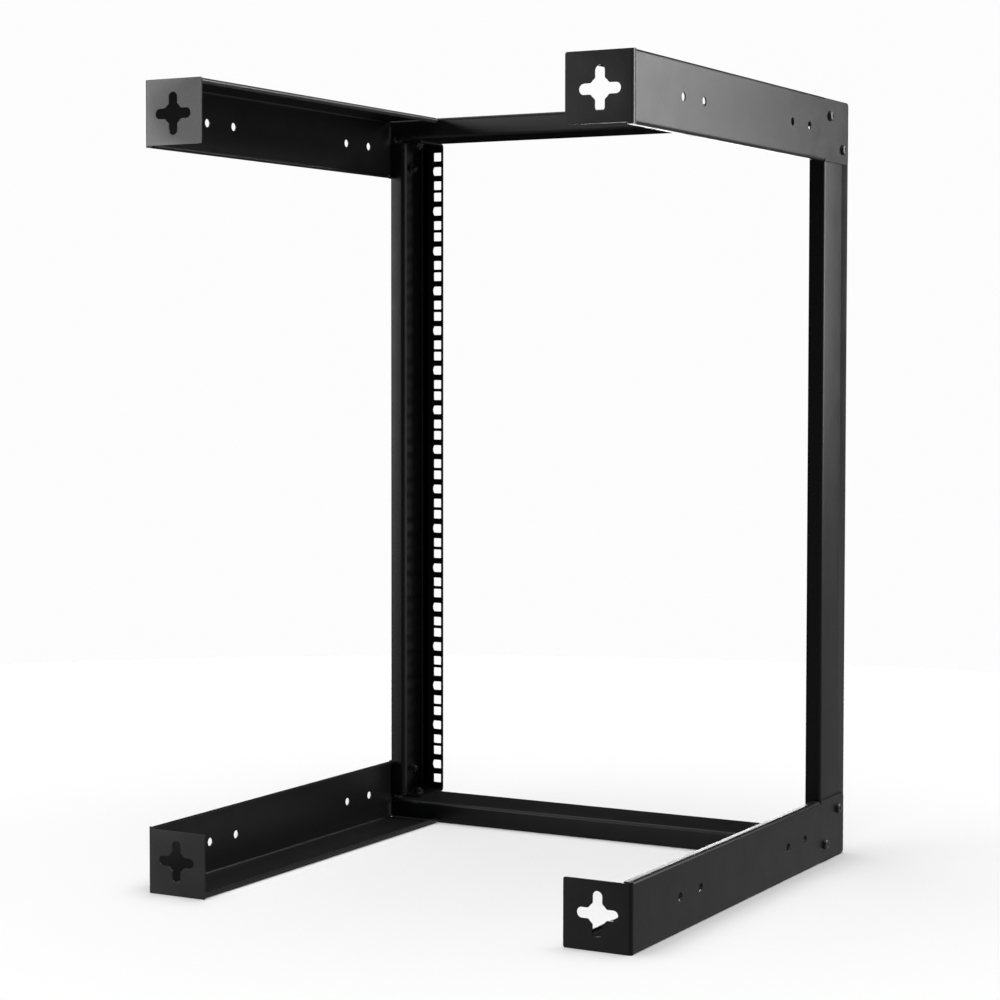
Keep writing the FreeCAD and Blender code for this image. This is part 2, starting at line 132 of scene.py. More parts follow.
def folded_sheet(name, loops, lines, fold, mirrored, material):
    """A sheet piece made as the real one is: cut flat, then folded.

    The blank (its outline and holes as loops of points, and the lines of its bends) is divided
    into triangles, and those outside the outline or in a hole are dropped. Fold gives a point of
    the folded piece from the place (u, v) on the blank and the lift above the sheet's middle. It
    is worked out twice, at half a plate above and below, and the two skins are joined round
    every cut edge. A small bevel on those edges is the way the coat rounds them.
    """
    first, edges = 0, []
    for loop in loops:
        ring = np.arange(first, first + len(loop))
        edges.append(np.stack([ring, np.roll(ring, -1)], 1))
        first += len(loop)
    edges.append(np.arange(first, first + 2 * len(lines)).reshape(-1, 2))
    points = np.concatenate(loops + [np.reshape(lines, (-1, 2))])
    flat, _, faces, *_ = delaunay_2d_cdt(points.tolist(), np.concatenate(edges).tolist(), [], 0, SAME_PLACE)
    flat = np.array(flat)
    faces = np.array(faces)
    faces = faces[inside(flat[faces].mean(axis=1), loops)]
    used, faces = np.unique(faces, return_inverse=True)
    flat, faces = flat[used], faces.reshape(-1, 3)
    if not mirrored:
        faces = faces[:, ::-1]

    outer = fold(flat[:, 0], flat[:, 1], PLATE / 2)
    inner = fold(flat[:, 0], flat[:, 1], -PLATE / 2)
    sides = np.concatenate([faces[:, [0, 1]], faces[:, [1, 2]], faces[:, [2, 0]]])
    keys = sides[:, 0] * len(flat) + sides[:, 1]
    back_keys = sides[:, 1] * len(flat) + sides[:, 0]
    rim = sides[~np.isin(back_keys, keys)]
    count = len(flat)
    walls = np.stack([rim[:, 1], rim[:, 0], rim[:, 0] + count, rim[:, 1] + count], 1)
    skins = np.concatenate([faces, faces[:, ::-1] + count])

    mesh = bpy.data.meshes.new(name)
    mesh.from_pydata(np.concatenate([outer, inner]) * MM, [], skins.tolist() + walls.tolist())
    mesh.polygons.foreach_set("use_smooth", np.ones(len(mesh.polygons), bool))
    mesh.materials.append(material)
    mesh.update()
    piece = bpy.data.objects.new(name, mesh)
    bpy.context.collection.objects.link(piece)
    rounding = piece.modifiers.new("coated edges", "BEVEL")
    rounding.width = COATED_EDGE * MM
    rounding.segments = 2
    rounding.use_clamp_overlap = False
    rounding.limit_method = "ANGLE"
    rounding.angle_limit = math.radians(COATED_ANGLE)
    rounding.harden_normals = True
    return piece


def powder_coat():
    """Black polyester powder, stoved to a satin skin with a fine, even grain.

    Two sizes of noise on the object's own coordinates make the grain: flow waves two to three
    millimetres long and specks of a third of a millimetre. Noise of a millimetre varies the tone,
    and broad, faint noise the gloss.
    """
    material = bpy.data.materials.new("powder coat")
    material.use_nodes = True
    nodes, links = material.node_tree.nodes, material.node_tree.links
    shader = nodes["Principled BSDF"]
    shader.inputs["Specular IOR Level"].default_value = 0.18
    place = nodes.new("ShaderNodeTexCoord")

    def noise(scale, detail):
        """Noise whose waves are one metre over the scale long."""
        node = nodes.new("ShaderNodeTexNoise")
        node.inputs["Scale"].default_value = scale
        node.inputs["Detail"].default_value = detail
        links.new(place.outputs["Object"], node.inputs["Vector"])
        return node.outputs["Fac"]

    def spread(value, low, high):
        """Stretches the middle of a noise, from 0.3 to 0.7, over the range from low to high."""
        node = nodes.new("ShaderNodeMapRange")
        node.inputs["From Min"].default_value = 0.3
        node.inputs["From Max"].default_value = 0.7
        node.inputs["To Min"].default_value = low
        node.inputs["To Max"].default_value = high
        links.new(value, node.inputs["Value"])
        return node.outputs["Result"]

    tone = nodes.new("ShaderNodeValToRGB")
    tone.color_ramp.elements[0].color = (0.0026, 0.0026, 0.0029, 1)
    tone.color_ramp.elements[1].color = (0.0048, 0.0048, 0.0052, 1)
    links.new(spread(noise(900, 2), 0, 1), tone.inputs["Fac"])
    links.new(tone.outputs["Color"], shader.inputs["Base Color"])
    links.new(spread(noise(35, 3), 0.34, 0.40), shader.inputs["Roughness"])

    grain = nodes.new("ShaderNodeBump")
    grain.inputs["Strength"].default_value = 0.35
    grain.inputs["Distance"].default_value = 0.00004
    links.new(noise(2800, 1), grain.inputs["Height"])
    flow = nodes.new("ShaderNodeBump")
    flow.inputs["Strength"].default_value = 0.55
    flow.inputs["Distance"].default_value = 0.0001
    links.new(noise(430, 1), flow.inputs["Height"])
    links.new(grain.outputs["Normal"], flow.inputs["Normal"])
    links.new(flow.outputs["Normal"], shader.inputs["Normal"])
    return material


coat = powder_coat()

ARM_WEB = 63.5
ARM_WEB_LIP = 8.0
ARM_FLANGE = 63.5
ARM_FLANGE_LIP = 6.0
ARM_END = 438.0
TONGUE_END = 502.0
TONGUE_CORNER = 4.0
TONGUE_INSET = 0.9
RELIEF_SLOT = 1.5
BEND_RELIEF = 0.1
CLOSING_SEAM = 0.3
FLANGE_SLOPE = 1.5
LIP_SLOPE = 0.8
WALL_FLANGE_WIDTH = 66.0
WALL_FLANGE_HEIGHT = 61.9
WALL_BEND_TOP = 63.3
WALL_FLANGE_CORNER = 2.0
CROSS_PLACE = (33.0, 32.5)
CROSS_LENGTH = 40.0
CROSS_SLOT = 9.5
CROSS_HUB = 20.0
CROSS_CORNER = 2.5
SIDE_HOLE = 8.2
SIDE_HOLES = [(99.2, 31.75), (143.65, 31.75), (352.0, 31.75), (396.45, 31.75)]
SCREW_HOLE = 5.5
ARM_SCREWS = [(22.5, 49.2), (57.6, 17.9)]

lip_start = ARM_WEB - OUTER_BEND + BEND_RUN
web_lip_edge = lip_start + ARM_WEB_LIP - OUTER_BEND
flange_run = ARM_FLANGE - 2 * OUTER_BEND
flange_start = OUTER_BEND - BEND_RUN
flange_lip_edge = flange_start - flange_run - BEND_RUN - (ARM_FLANGE_LIP - OUTER_BEND)
wall_start = OUTER_BEND - BEND_RUN
wall_edge = wall_start - (WALL_FLANGE_WIDTH - OUTER_BEND)


def fold_arm(side, level):
    """Gives the folding of one arm: u runs up the web from the flange, and v away from the wall.

    Between the wall's corner and the arm's end, the sheet bends into the flange where u is less
    than the outer bend, and into the lip near the web's far edge. The flange bends again into its
    own lip. Nearer the wall the web bends into the wall flange, and past the end it stays flat.
    Left and lower arms mirror the others.
    """
    def fold(u, v, lift):
        x = np.full_like(u, PLATE / 2 - lift)
        y = v.copy()
        z = u.copy()
        channel = (v > OUTER_BEND + PAST_LINE) | (u < flange_start - PAST_LINE) | (u > ARM_WEB)
        channel &= v < ARM_END + PAST_LINE

        along, below = bend(OUTER_BEND - u, lift)
        lip_along, lip_below = bend(OUTER_BEND - u - BEND_RUN - flange_run, lift)
        near = u > flange_start - flange_run / 2
        in_flange = channel & (u < OUTER_BEND)
        x = np.where(in_flange, np.where(near, below, ARM_FLANGE - OUTER_BEND + lip_along), x)
        z = np.where(in_flange, np.where(near, OUTER_BEND - along, lip_below), z)

        along, below = bend(u - (ARM_WEB - OUTER_BEND), lift)
        in_lip = channel & (u > ARM_WEB - OUTER_BEND)
        x = np.where(in_lip, below, x)
        z = np.where(in_lip, ARM_WEB - OUTER_BEND + along, z)

        along, below = bend(OUTER_BEND - v, lift)
        in_wall = ~channel & (v < OUTER_BEND)
        x = np.where(in_wall, below, x)
        y = np.where(in_wall, OUTER_BEND - along, y)
        return np.stack([side * (HALF_WIDTH - x), y, level * (HALF_HEIGHT - z)], 1)
    return fold


def cross_hole(centre):
    """A cross of two round-ended slots with a round hub, one quarter turned four times.

    A quarter is the slot's end arc, a rounded corner, the hub's arc and a rounded corner again.
    The middle of a corner's circle lies a corner radius above the slot's side, and a hub radius
    plus a corner radius from the hub's middle.
    """
    half_slot, hub = CROSS_SLOT / 2, CROSS_HUB / 2
    up = half_slot + CROSS_CORNER
    out = math.sqrt((hub + CROSS_CORNER) ** 2 - up ** 2)
    lean = math.degrees(math.atan2(up, out))
    end = arc_points((CROSS_LENGTH / 2 - half_slot, 0), half_slot, -90, 90, 12)
    first_corner = arc_points((out, up), CROSS_CORNER, 270, 180 + lean, 5)
    middle = arc_points((0, 0), hub, lean, 90 - lean, 3)[1:-1]
    last_corner = arc_points((up, out), CROSS_CORNER, 270 - lean, 180, 5)
    quarter = np.concatenate([end, first_corner, middle, last_corner])
    turns = np.radians([0, 90, 180, 270])
    ring = [quarter @ np.array([[np.cos(t), np.sin(t)], [-np.sin(t), np.cos(t)]]) for t in turns]
    return np.concatenate(ring) + centre


arm_outline = np.concatenate([
    [(flange_lip_edge, PLATE + CLOSING_SEAM), (flange_start - FLANGE_SLOPE, PLATE + CLOSING_SEAM)],
    [(flange_start, OUTER_BEND + BEND_RELIEF), (OUTER_BEND, OUTER_BEND + BEND_RELIEF)],
    [(OUTER_BEND, OUTER_BEND), (0, OUTER_BEND)],
    arc_points((WALL_FLANGE_CORNER, wall_edge + WALL_FLANGE_CORNER), WALL_FLANGE_CORNER, 180, 270, 5),
    arc_points((WALL_FLANGE_HEIGHT - WALL_FLANGE_CORNER, wall_edge + WALL_FLANGE_CORNER),
               WALL_FLANGE_CORNER, 270, 360, 5),
    [(WALL_FLANGE_HEIGHT, wall_start), (WALL_BEND_TOP, wall_start), (WALL_BEND_TOP, OUTER_BEND)],
    [(ARM_WEB - OUTER_BEND, OUTER_BEND)],
    [(ARM_WEB - OUTER_BEND, OUTER_BEND + BEND_RELIEF)],
    [(lip_start, OUTER_BEND + BEND_RELIEF)],
    [(lip_start + LIP_SLOPE, CLOSING_SEAM), (web_lip_edge, CLOSING_SEAM)],
    [(web_lip_edge, ARM_END), (ARM_WEB - OUTER_BEND, ARM_END)],
    [(ARM_WEB - OUTER_BEND, ARM_END + RELIEF_SLOT), (ARM_WEB, ARM_END + RELIEF_SLOT)],
    arc_points((ARM_WEB - TONGUE_CORNER, TONGUE_END - TONGUE_CORNER), TONGUE_CORNER, 0, 90),
    arc_points((TONGUE_INSET + TONGUE_CORNER, TONGUE_END - TONGUE_CORNER), TONGUE_CORNER, 90, 180),
    [(TONGUE_INSET, ARM_END + BEND_RELIEF), (OUTER_BEND, ARM_END + BEND_RELIEF), (OUTER_BEND, ARM_END)],
    [(flange_lip_edge, ARM_END)],
])
arm_holes = [cross_hole((CROSS_PLACE[1], wall_start + OUTER_BEND - CROSS_PLACE[0]))]
arm_holes += [round_hole((z, y), SIDE_HOLE) for y, z in SIDE_HOLES]
arm_holes += [round_hole((inset, RACK_FRONT - back), SCREW_HOLE) for back, inset in ARM_SCREWS]
arm_bends = bend_lines(OUTER_BEND, -1, OUTER_BEND, ARM_END)
arm_bends += bend_lines(flange_start - flange_run, -1, 0, ARM_END)
arm_bends += bend_lines(ARM_WEB - OUTER_BEND, 1, OUTER_BEND, ARM_END)
arm_bends += [((0, level), (WALL_BEND_TOP if level > wall_start else WALL_FLANGE_HEIGHT, level))
              for (level, _), _ in bend_lines(OUTER_BEND, -1, 0, 0)]

CORNERS = [("top_left", -1, 1), ("top_right", 1, 1), ("bottom_left", -1, -1), ("bottom_right", 1, -1)]
for corner, side, level in CORNERS:
    arm = folded_sheet(corner + "_arm_sheet", [arm_outline] + arm_holes, arm_bends,
                       fold_arm(side, level), side * level > 0, coat)
    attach(arm, "root")
    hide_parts(corner + "_arm")


# THE POSTS
# Two posts carry the equipment. Each is folded from one blank too: a web behind the arms'
# tongues, a front flange with three square holes to each rack unit, the middle one with a
# keying notch, and a lipped rear flange. At each end the front flange folds back into a tab.

POST_REAR = 440.0
POST_DEPTH = RACK_FRONT - POST_REAR
POST_SIDE = HALF_WIDTH - PLATE
POST_HALF = 359.5
FRONT_FLANGE = 28.6
REAR_FLANGE = 17.0
REAR_LIP = 8.0
BEAM_LEVEL = 363.2
TAB_REAR = 18.0
TAB_INNER = 4.0
TAB_SLIT = 0.3
EAR_END = 383.0
EAR_CORNER = 3.0
RACK_UNITS = 16
UNIT_HEIGHT = 44.45
FIRST_HOLE = 6.35
HOLE_STEP = 15.875
HOLE_COLUMNS = 465.1
HOLE_SIDE = 9.5
HOLE_CORNER = 0.8
NOTCH_WIDTH = 8.0
NOTCH_DEPTH = 1.2
BEAM_SCREW = (17.0, 34.0)

post_front = POST_DEPTH - OUTER_BEND
front_start = post_front + BEND_RUN
front_edge = front_start + FRONT_FLANGE - OUTER_BEND
strip_edge = front_start + TAB_INNER - OUTER_BEND
rear_run = REAR_FLANGE - 2 * OUTER_BEND
rear_lip_edge = OUTER_BEND - BEND_RUN - rear_run - BEND_RUN - (REAR_LIP - OUTER_BEND)
tab_fold = BEAM_LEVEL - OUTER_BEND
tab_edge = tab_fold + BEND_RUN + post_front - TAB_REAR
corner_end = BEAM_LEVEL - TAB_SLIT
hole_place = front_start + POST_SIDE - HOLE_COLUMNS / 2 - OUTER_BEND


def fold_post(side):
    """Gives the folding of one post: u runs along the web from its rear, and v is the height.

    The sheet bends into the rear flange and its lip where u is small, and into the front flange
    past the web's front. Where the front flange runs on beyond the tab's fold line, above or
    below, it bends once more, backwards.
    """
    def fold(u, v, lift):
        x = np.full_like(u, PLATE / 2 - lift)
        y = u.copy()
        z = v.copy()
        along, below = bend(OUTER_BEND - u, lift)
        lip_along, lip_below = bend(OUTER_BEND - u - BEND_RUN - rear_run, lift)
        near = u > OUTER_BEND - BEND_RUN - rear_run / 2
        rear = u < OUTER_BEND
        x = np.where(rear, np.where(near, below, REAR_FLANGE - OUTER_BEND + lip_along), x)
        y = np.where(rear, np.where(near, OUTER_BEND - along, lip_below), y)

        along, below = bend(u - post_front, lift)
        front = u > post_front
        x = np.where(front, below, x)
        y = np.where(front, post_front + along, y)

        along, below = bend(np.abs(v) - tab_fold, lift)
        tab = (u > strip_edge - PAST_LINE) & (np.abs(v) > tab_fold)
        y = np.where(tab, POST_DEPTH - below, y)
        z = np.where(tab, np.sign(v) * (tab_fold + along), z)
        return np.stack([side * (POST_SIDE - x), POST_REAR + y, z], 1)
    return fold


def rack_hole(centre, notched):
    """A square with small round corners; the middle hole's side nearest the web bulges in an arc."""
    half, inset = HOLE_SIDE / 2, HOLE_SIDE / 2 - HOLE_CORNER
    ring = [arc_points((inset * a, inset * b), HOLE_CORNER, start, start + 90, 3)
            for a, b, start in [(1, 1, 0), (-1, 1, 90), (-1, -1, 180), (1, -1, 270)]]
    if notched:
        radius = (NOTCH_WIDTH ** 2 / 4 + NOTCH_DEPTH ** 2) / (2 * NOTCH_DEPTH)
        spread = math.degrees(math.asin(NOTCH_WIDTH / 2 / radius))
        ring[1] = ring[1][:-1]
        ring[2] = ring[2][1:]
        ring.insert(2, arc_points((-half - NOTCH_DEPTH + radius, 0), radius,
                                  180 - spread, 180 + spread, 8))
    return np.concatenate(ring) + centre


upper_end = np.concatenate([
    [(front_edge, tab_edge), (strip_edge, tab_edge), (strip_edge, POST_HALF)],
    [(strip_edge - TAB_SLIT, POST_HALF), (strip_edge - TAB_SLIT, corner_end), (post_front, corner_end)],
    arc_points((post_front - EAR_CORNER, EAR_END - EAR_CORNER), EAR_CORNER, 0, 90, 6),
    arc_points((TAB_INNER + EAR_CORNER, EAR_END - EAR_CORNER), EAR_CORNER, 90, 180, 6),
    [(TAB_INNER, POST_HALF), (rear_lip_edge, POST_HALF)],
])
post_outline = np.concatenate([upper_end, upper_end[::-1] * (1, -1)])
post_holes = []
for unit in range(RACK_UNITS):
    for step in range(3):
        level = (unit - RACK_UNITS / 2) * UNIT_HEIGHT + FIRST_HOLE + step * HOLE_STEP
        post_holes.append(rack_hole((hole_place, level), step == 1))
tab_hole = (front_start + BEAM_SCREW[0] - OUTER_BEND, tab_fold + BEND_RUN + post_front - BEAM_SCREW[1])
for end in (1, -1):
    for back, inset in ARM_SCREWS:
        place = (RACK_FRONT - back - POST_REAR, end * (HALF_HEIGHT - inset))
        post_holes.append(round_hole(place, SCREW_HOLE))
    post_holes.append(round_hole((tab_hole[0], end * tab_hole[1]), SCREW_HOLE))
post_bends = bend_lines(OUTER_BEND, -1, -POST_HALF, POST_HALF)
post_bends += bend_lines(OUTER_BEND - BEND_RUN - rear_run, -1, -POST_HALF, POST_HALF)
post_bends += bend_lines(post_front, 1, -corner_end, corner_end)
for end in (1, -1):
    post_bends += [((strip_edge, end * level), (front_edge, end * level))
                   for (level, _), _ in bend_lines(tab_fold, 1, 0, 0)]

for side, side_name in ((-1, "left"), (1, "right")):
    post = folded_sheet(side_name + "_post_sheet", [post_outline] + post_holes, post_bends,
                        fold_post(side), side < 0, coat)
    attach(post, "root")
    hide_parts(side_name + "_post")


# THE CROSS MEMBERS
# One at the top and one at the bottom keep the posts 19 inches apart. Each is a folded channel
# of the same sheet: a flat plate, a face on the wall side, and a lip that points forward. The
# plate's ends lie on the posts' tabs.

BEAM_RISE = 22.0
BEAM_LIP = 8.0
BEAM_FRONT = 64.0
BEAM_HALF_FACE = 252.0
BEAM_HALF_PLATE = 245.5
BEAM_TAB_END = 250.0
BEAM_TAB_CORNER = 3.0

beam_screw_place = POST_SIDE - BEAM_SCREW[0]
face_start = OUTER_BEND - BEND_RUN
face_run = BEAM_RISE - 2 * OUTER_BEND
beam_lip_edge = face_start - face_run - BEND_RUN - (BEAM_LIP - OUTER_BEND)


def fold_cross_member(level):
    """Gives the folding of one cross member: u runs back from its front edge, and v is its length.

    The plate bends up into the face where u is less than the outer bend, and the face bends
    forward into the lip.
    """
    def fold(u, v, lift):
        along, below = bend(OUTER_BEND - u, lift)
        lip_along, lip_below = bend(face_start - face_run - u, lift)
        near = u > face_start - face_run / 2
        y = np.where(near, OUTER_BEND - along, lip_below)
        z = np.where(near, below, BEAM_RISE - OUTER_BEND + lip_along)
        return np.stack([v, POST_REAR + y, level * (BEAM_LEVEL + z)], 1)
    return fold


right_end = np.concatenate([
    [(beam_lip_edge, BEAM_HALF_FACE), (face_start, BEAM_HALF_FACE)],
    [(face_start, BEAM_HALF_PLATE), (TAB_REAR, BEAM_HALF_PLATE)],
    arc_points((TAB_REAR + BEAM_TAB_CORNER, BEAM_TAB_END - BEAM_TAB_CORNER),
               BEAM_TAB_CORNER, 180, 90, 6),
    arc_points((BEAM_FRONT - BEAM_TAB_CORNER, BEAM_TAB_END - BEAM_TAB_CORNER),
               BEAM_TAB_CORNER, 90, 0, 6),
])
beam_outline = np.concatenate([right_end, right_end[::-1] * (1, -1)])
beam_holes = [round_hole((BEAM_SCREW[1], end * beam_screw_place), SCREW_HOLE) for end in (1, -1)]
beam_bends = bend_lines(OUTER_BEND, -1, -BEAM_HALF_PLATE, BEAM_HALF_PLATE)
beam_bends += bend_lines(face_start - face_run, -1, -BEAM_HALF_FACE, BEAM_HALF_FACE)

for level, level_name in ((1, "top"), (-1, "bottom")):
    beam = folded_sheet(level_name + "_cross_member_sheet", [beam_outline] + beam_holes, beam_bends,
                        fold_cross_member(level), level > 0, coat)
    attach(beam, "root")
    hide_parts(level_name + "_cross_member")


# THE SCREWS AND NUTS
# Two pan head machine screws with cross recesses hold each arm to its post, heads outside, and
# one holds each end of a cross member. Flanged hexagon nuts sit inside. All are steel, plated
# black, a little glossier than the sheet.

NUT_ACROSS = 8.0
NUT_HEIGHT = 4.5
NUT_COLLAR = 5.75
NUT_BORE = 2.55
NUT_SEAT_CHAMFER = 0.4
NUT_TOP_CHAMFER = 0.45
NUT_CORNER = 0.12
NUT_CONE = 0.15
NUT_CONE_RISE = 0.5
NUT_CONE_ROWS = 6
COLLAR_EDGE = [(-0.25, 0), (-0.07, -0.07), (0, -0.25), (0, -0.65), (-0.1, -0.85), (-0.3, -0.98)]
HEXAGON_FOOT = [(0.35, -1.15), (0.08, -1.25), (0, -1.5)]
HEAD_RADIUS = 5.0
HEAD_HEIGHT = 3.5
HEAD_ROUND = 1.3
HEAD_CROWN = 0.35
HEAD_UNDERCUT = 0.2
HEAD_EDGE = 0.25
RECESS_HALF = 2.5
RECESS_SLOT = 0.6
RECESS_DEPTH = 1.6
RECESS_WALL = 0.3
RECESS_TAPER = 0.55
SCREW_RADIUS = 2.5
SCREW_PROUD = 2.0
SCREW_LENGTH = 2 * PLATE + NUT_HEIGHT + SCREW_PROUD
SCREW_POINT = 0.35
POINT_INSET = 0.15
POINT_EDGE = 0.05
THREAD_START = 6.5
THREAD_PITCH = 0.8
THREAD_DEPTH = 0.32
CROWN_ROWS = 30
ROLL_ROWS = 7
THREAD_ROWS = 29
TURN_AT_CORNER = 0.9
TURN_AT_SEAT = 1.7
NUT_TURN = 2.3
AROUND = 60
WELD = 1e-6
SHARP_ANGLE = 38
ANGLES = np.linspace(0, 2 * math.pi, AROUND + 1)[:-1]


def turned_piece(name, radius, height, place, material):
    """A closed surface on a grid of rows (along a profile) by angles (round the axis).

    Each point lies at its radius and angle about the piece's axis and at its height along it.
    The rows run from the axis back to the axis, or end on the row they began with. Place turns
    the points from the piece's own axes to the rack's.
    """
    rows = len(radius)
    angle = np.broadcast_to(ANGLES, radius.shape)
    points = np.stack([radius * np.cos(angle), radius * np.sin(angle), height], -1).reshape(-1, 3)
    index = np.arange(rows * AROUND).reshape(rows, AROUND)
    ahead = np.roll(index, -1, axis=1)
    quads = np.stack([index[:-1], index[1:], ahead[1:], ahead[:-1]], -1).reshape(-1, 4)
    mesh = bpy.data.meshes.new(name)
    mesh.from_pydata(place(points) * MM, [], quads.tolist())
    shape = bmesh.new()
    shape.from_mesh(mesh)
    bmesh.ops.remove_doubles(shape, verts=shape.verts, dist=WELD)
    bmesh.ops.dissolve_degenerate(shape, edges=shape.edges, dist=WELD / 10)
    bmesh.ops.recalc_face_normals(shape, faces=shape.faces)
    shape.to_mesh(mesh)
    shape.free()
    mesh.polygons.foreach_set("use_smooth", np.ones(len(mesh.polygons), bool))
    mesh.set_sharp_from_angle(angle=math.radians(SHARP_ANGLE))
    mesh.materials.append(material)
    piece = bpy.data.objects.new(name, mesh)
    bpy.context.collection.objects.link(piece)
    return piece


def screw_profile():
    """The radius and height of a screw's surface over its rows and angles.

    The head's top is a shallow crown, its height falling with the square of the radius, and
    rolls over the rim on a quarter circle. The recess sinks it where a point lies inside either
    bar of a cross, sloping down over the recess's wall. Below the head the shank's radius is
    plain in the sheets, and then follows a thread: a triangle wave of height over pitch plus
    angle over a full turn.
    """
    crown = np.linspace(0, HEAD_RADIUS - HEAD_ROUND, CROWN_ROWS)[:, None]
    top = HEAD_HEIGHT - HEAD_CROWN * (crown / HEAD_RADIUS) ** 2 + 0 * ANGLES
    x, y = np.abs(crown * np.cos(ANGLES)), np.abs(crown * np.sin(ANGLES))
    bars = np.maximum(np.minimum(RECESS_HALF - x, RECESS_SLOT - y),
                      np.minimum(RECESS_HALF - y, RECESS_SLOT - x))
    taper = 1 - RECESS_TAPER * np.clip(crown / RECESS_HALF, 0, 1) ** 2
    top = top - RECESS_DEPTH * taper * np.clip(bars / RECESS_WALL, 0, 1)

    roll = np.radians(np.linspace(0, 90, ROLL_ROWS + 1))[1:, None]
    rim_top = HEAD_HEIGHT - HEAD_CROWN * (1 - HEAD_ROUND / HEAD_RADIUS) ** 2
    rim = HEAD_RADIUS - HEAD_ROUND + HEAD_ROUND * np.sin(roll)
    rim_level = rim_top - HEAD_ROUND + HEAD_ROUND * np.cos(roll)
    under = np.array([[HEAD_RADIUS, HEAD_EDGE], [HEAD_RADIUS - HEAD_UNDERCUT, 0],
                      [SCREW_RADIUS, 0], [SCREW_RADIUS, -THREAD_START]])

    depth = np.linspace(THREAD_START, SCREW_LENGTH - SCREW_POINT, THREAD_ROWS + 1)[1:, None]
    phase = (depth / THREAD_PITCH + ANGLES / (2 * math.pi)) % 1
    ridge = 1 - np.abs(2 * phase - 1)
    run_in = np.clip((depth - THREAD_START) / THREAD_PITCH, 0, 1)
    thread = SCREW_RADIUS - THREAD_DEPTH * (1 - ridge) * run_in
    end = np.array([[SCREW_RADIUS - THREAD_DEPTH - POINT_INSET, -SCREW_LENGTH + POINT_EDGE],
                    [0, -SCREW_LENGTH]])

    flat = np.ones_like(ANGLES)
    radius = [crown * flat, rim * flat, under[:, :1] * flat, thread, end[:, :1] * flat]
    height = [top, rim_level * flat, under[:, 1:] * flat, -depth * flat, end[:, 1:] * flat]
    return np.concatenate(radius), np.concatenate(height)


def nut_profile():
    """The radius and height of a flanged hexagon nut's surface over its rows and angles.

    The rows run from the bore over the seat, round the flange, up the hexagon and back down the
    bore. A hexagon's radius is half its width over the cosine of the angle from the nearest
    flat's middle. Its far corners are cut by a cone, so the radius there is the lesser of the
    two.
    """
    flat = np.ones_like(ANGLES)
    wrench = NUT_ACROSS / 2 / np.cos(ANGLES % (math.pi / 3) - math.pi / 6)
    wrench = np.minimum(wrench, NUT_ACROSS / math.sqrt(3) - NUT_CORNER)
    seat = [(NUT_BORE + NUT_SEAT_CHAMFER, 0)] + [(NUT_COLLAR + out, z) for out, z in COLLAR_EDGE]
    radius = [r * flat for r, _ in seat]
    height = [z * flat for _, z in seat]
    radius += [wrench + out for out, _ in HEXAGON_FOOT]
    height += [z * flat for _, z in HEXAGON_FOOT]
    for level in np.linspace(NUT_HEIGHT - NUT_CONE_RISE, NUT_HEIGHT, NUT_CONE_ROWS):
        cone = NUT_ACROSS / 2 - NUT_CONE + (NUT_HEIGHT - level) * math.sqrt(3)
        radius.append(np.minimum(wrench, cone))
        height.append(-level * flat)
    bore = [(NUT_BORE + NUT_TOP_CHAMFER, -NUT_HEIGHT), (NUT_BORE, NUT_TOP_CHAMFER - NUT_HEIGHT),
            (NUT_BORE, -NUT_SEAT_CHAMFER), (NUT_BORE + NUT_SEAT_CHAMFER, 0)]
    radius += [r * flat for r, _ in bore]
    height += [z * flat for _, z in bore]
    return np.array(radius), np.array(height)


def fastener_place(origin, axis_side, upright, turn):
    """Turns a fastener about its own axis, then lays that axis along X, or along Z if upright.

    Axis_side is 1 or -1 for the way the head faces. The origin is where the head meets the sheet.
    """
    def place(points):
        x = points[:, 0] * math.cos(turn) - points[:, 1] * math.sin(turn)
        y = points[:, 0] * math.sin(turn) + points[:, 1] * math.cos(turn)
        z = points[:, 2]
        if upright:
            return np.stack([x * axis_side, y, z * axis_side], 1) + origin
        return np.stack([z * axis_side, y, -x * axis_side], 1) + origin
    return place


def black_plating():
    """Steel with a thin black zinc skin: dark, half glossy, faintly mottled where it was dipped.

    Broad noise on the object's own coordinates varies tone and gloss, and fine noise is the
    plating's frosted grain.
    """
    material = bpy.data.materials.new("black plating")
    material.use_nodes = True
    nodes, links = material.node_tree.nodes, material.node_tree.links
    shader = nodes["Principled BSDF"]
    shader.inputs["Metallic"].default_value = 0.35
    place = nodes.new("ShaderNodeTexCoord")
    mottle = nodes.new("ShaderNodeTexNoise")
    mottle.inputs["Scale"].default_value = 600
    mottle.inputs["Detail"].default_value = 3
    links.new(place.outputs["Object"], mottle.inputs["Vector"])
    tone = nodes.new("ShaderNodeValToRGB")
    tone.color_ramp.elements[0].position = 0.35
    tone.color_ramp.elements[0].color = (0.012, 0.012, 0.013, 1)
    tone.color_ramp.elements[1].position = 0.7
    tone.color_ramp.elements[1].color = (0.03, 0.03, 0.033, 1)
    links.new(mottle.outputs["Fac"], tone.inputs["Fac"])
    links.new(tone.outputs["Color"], shader.inputs["Base Color"])
    gloss = nodes.new("ShaderNodeMapRange")
    gloss.inputs["To Min"].default_value = 0.28
    gloss.inputs["To Max"].default_value = 0.42
    links.new(mottle.outputs["Fac"], gloss.inputs["Value"])
    links.new(gloss.outputs["Result"], shader.inputs["Roughness"])
    frost = nodes.new("ShaderNodeTexNoise")
    frost.inputs["Scale"].default_value = 5000
    links.new(place.outputs["Object"], frost.inputs["Vector"])
    grain = nodes.new("ShaderNodeBump")
    grain.inputs["Strength"].default_value = 0.2
    grain.inputs["Distance"].default_value = 0.00002
    links.new(frost.outputs["Fac"], grain.inputs["Height"])
    links.new(grain.outputs["Normal"], shader.inputs["Normal"])
    return material


plating = black_plating()
screw_radius, screw_height = screw_profile()
nut_radius, nut_height = nut_profile()
stack = 2 * PLATE

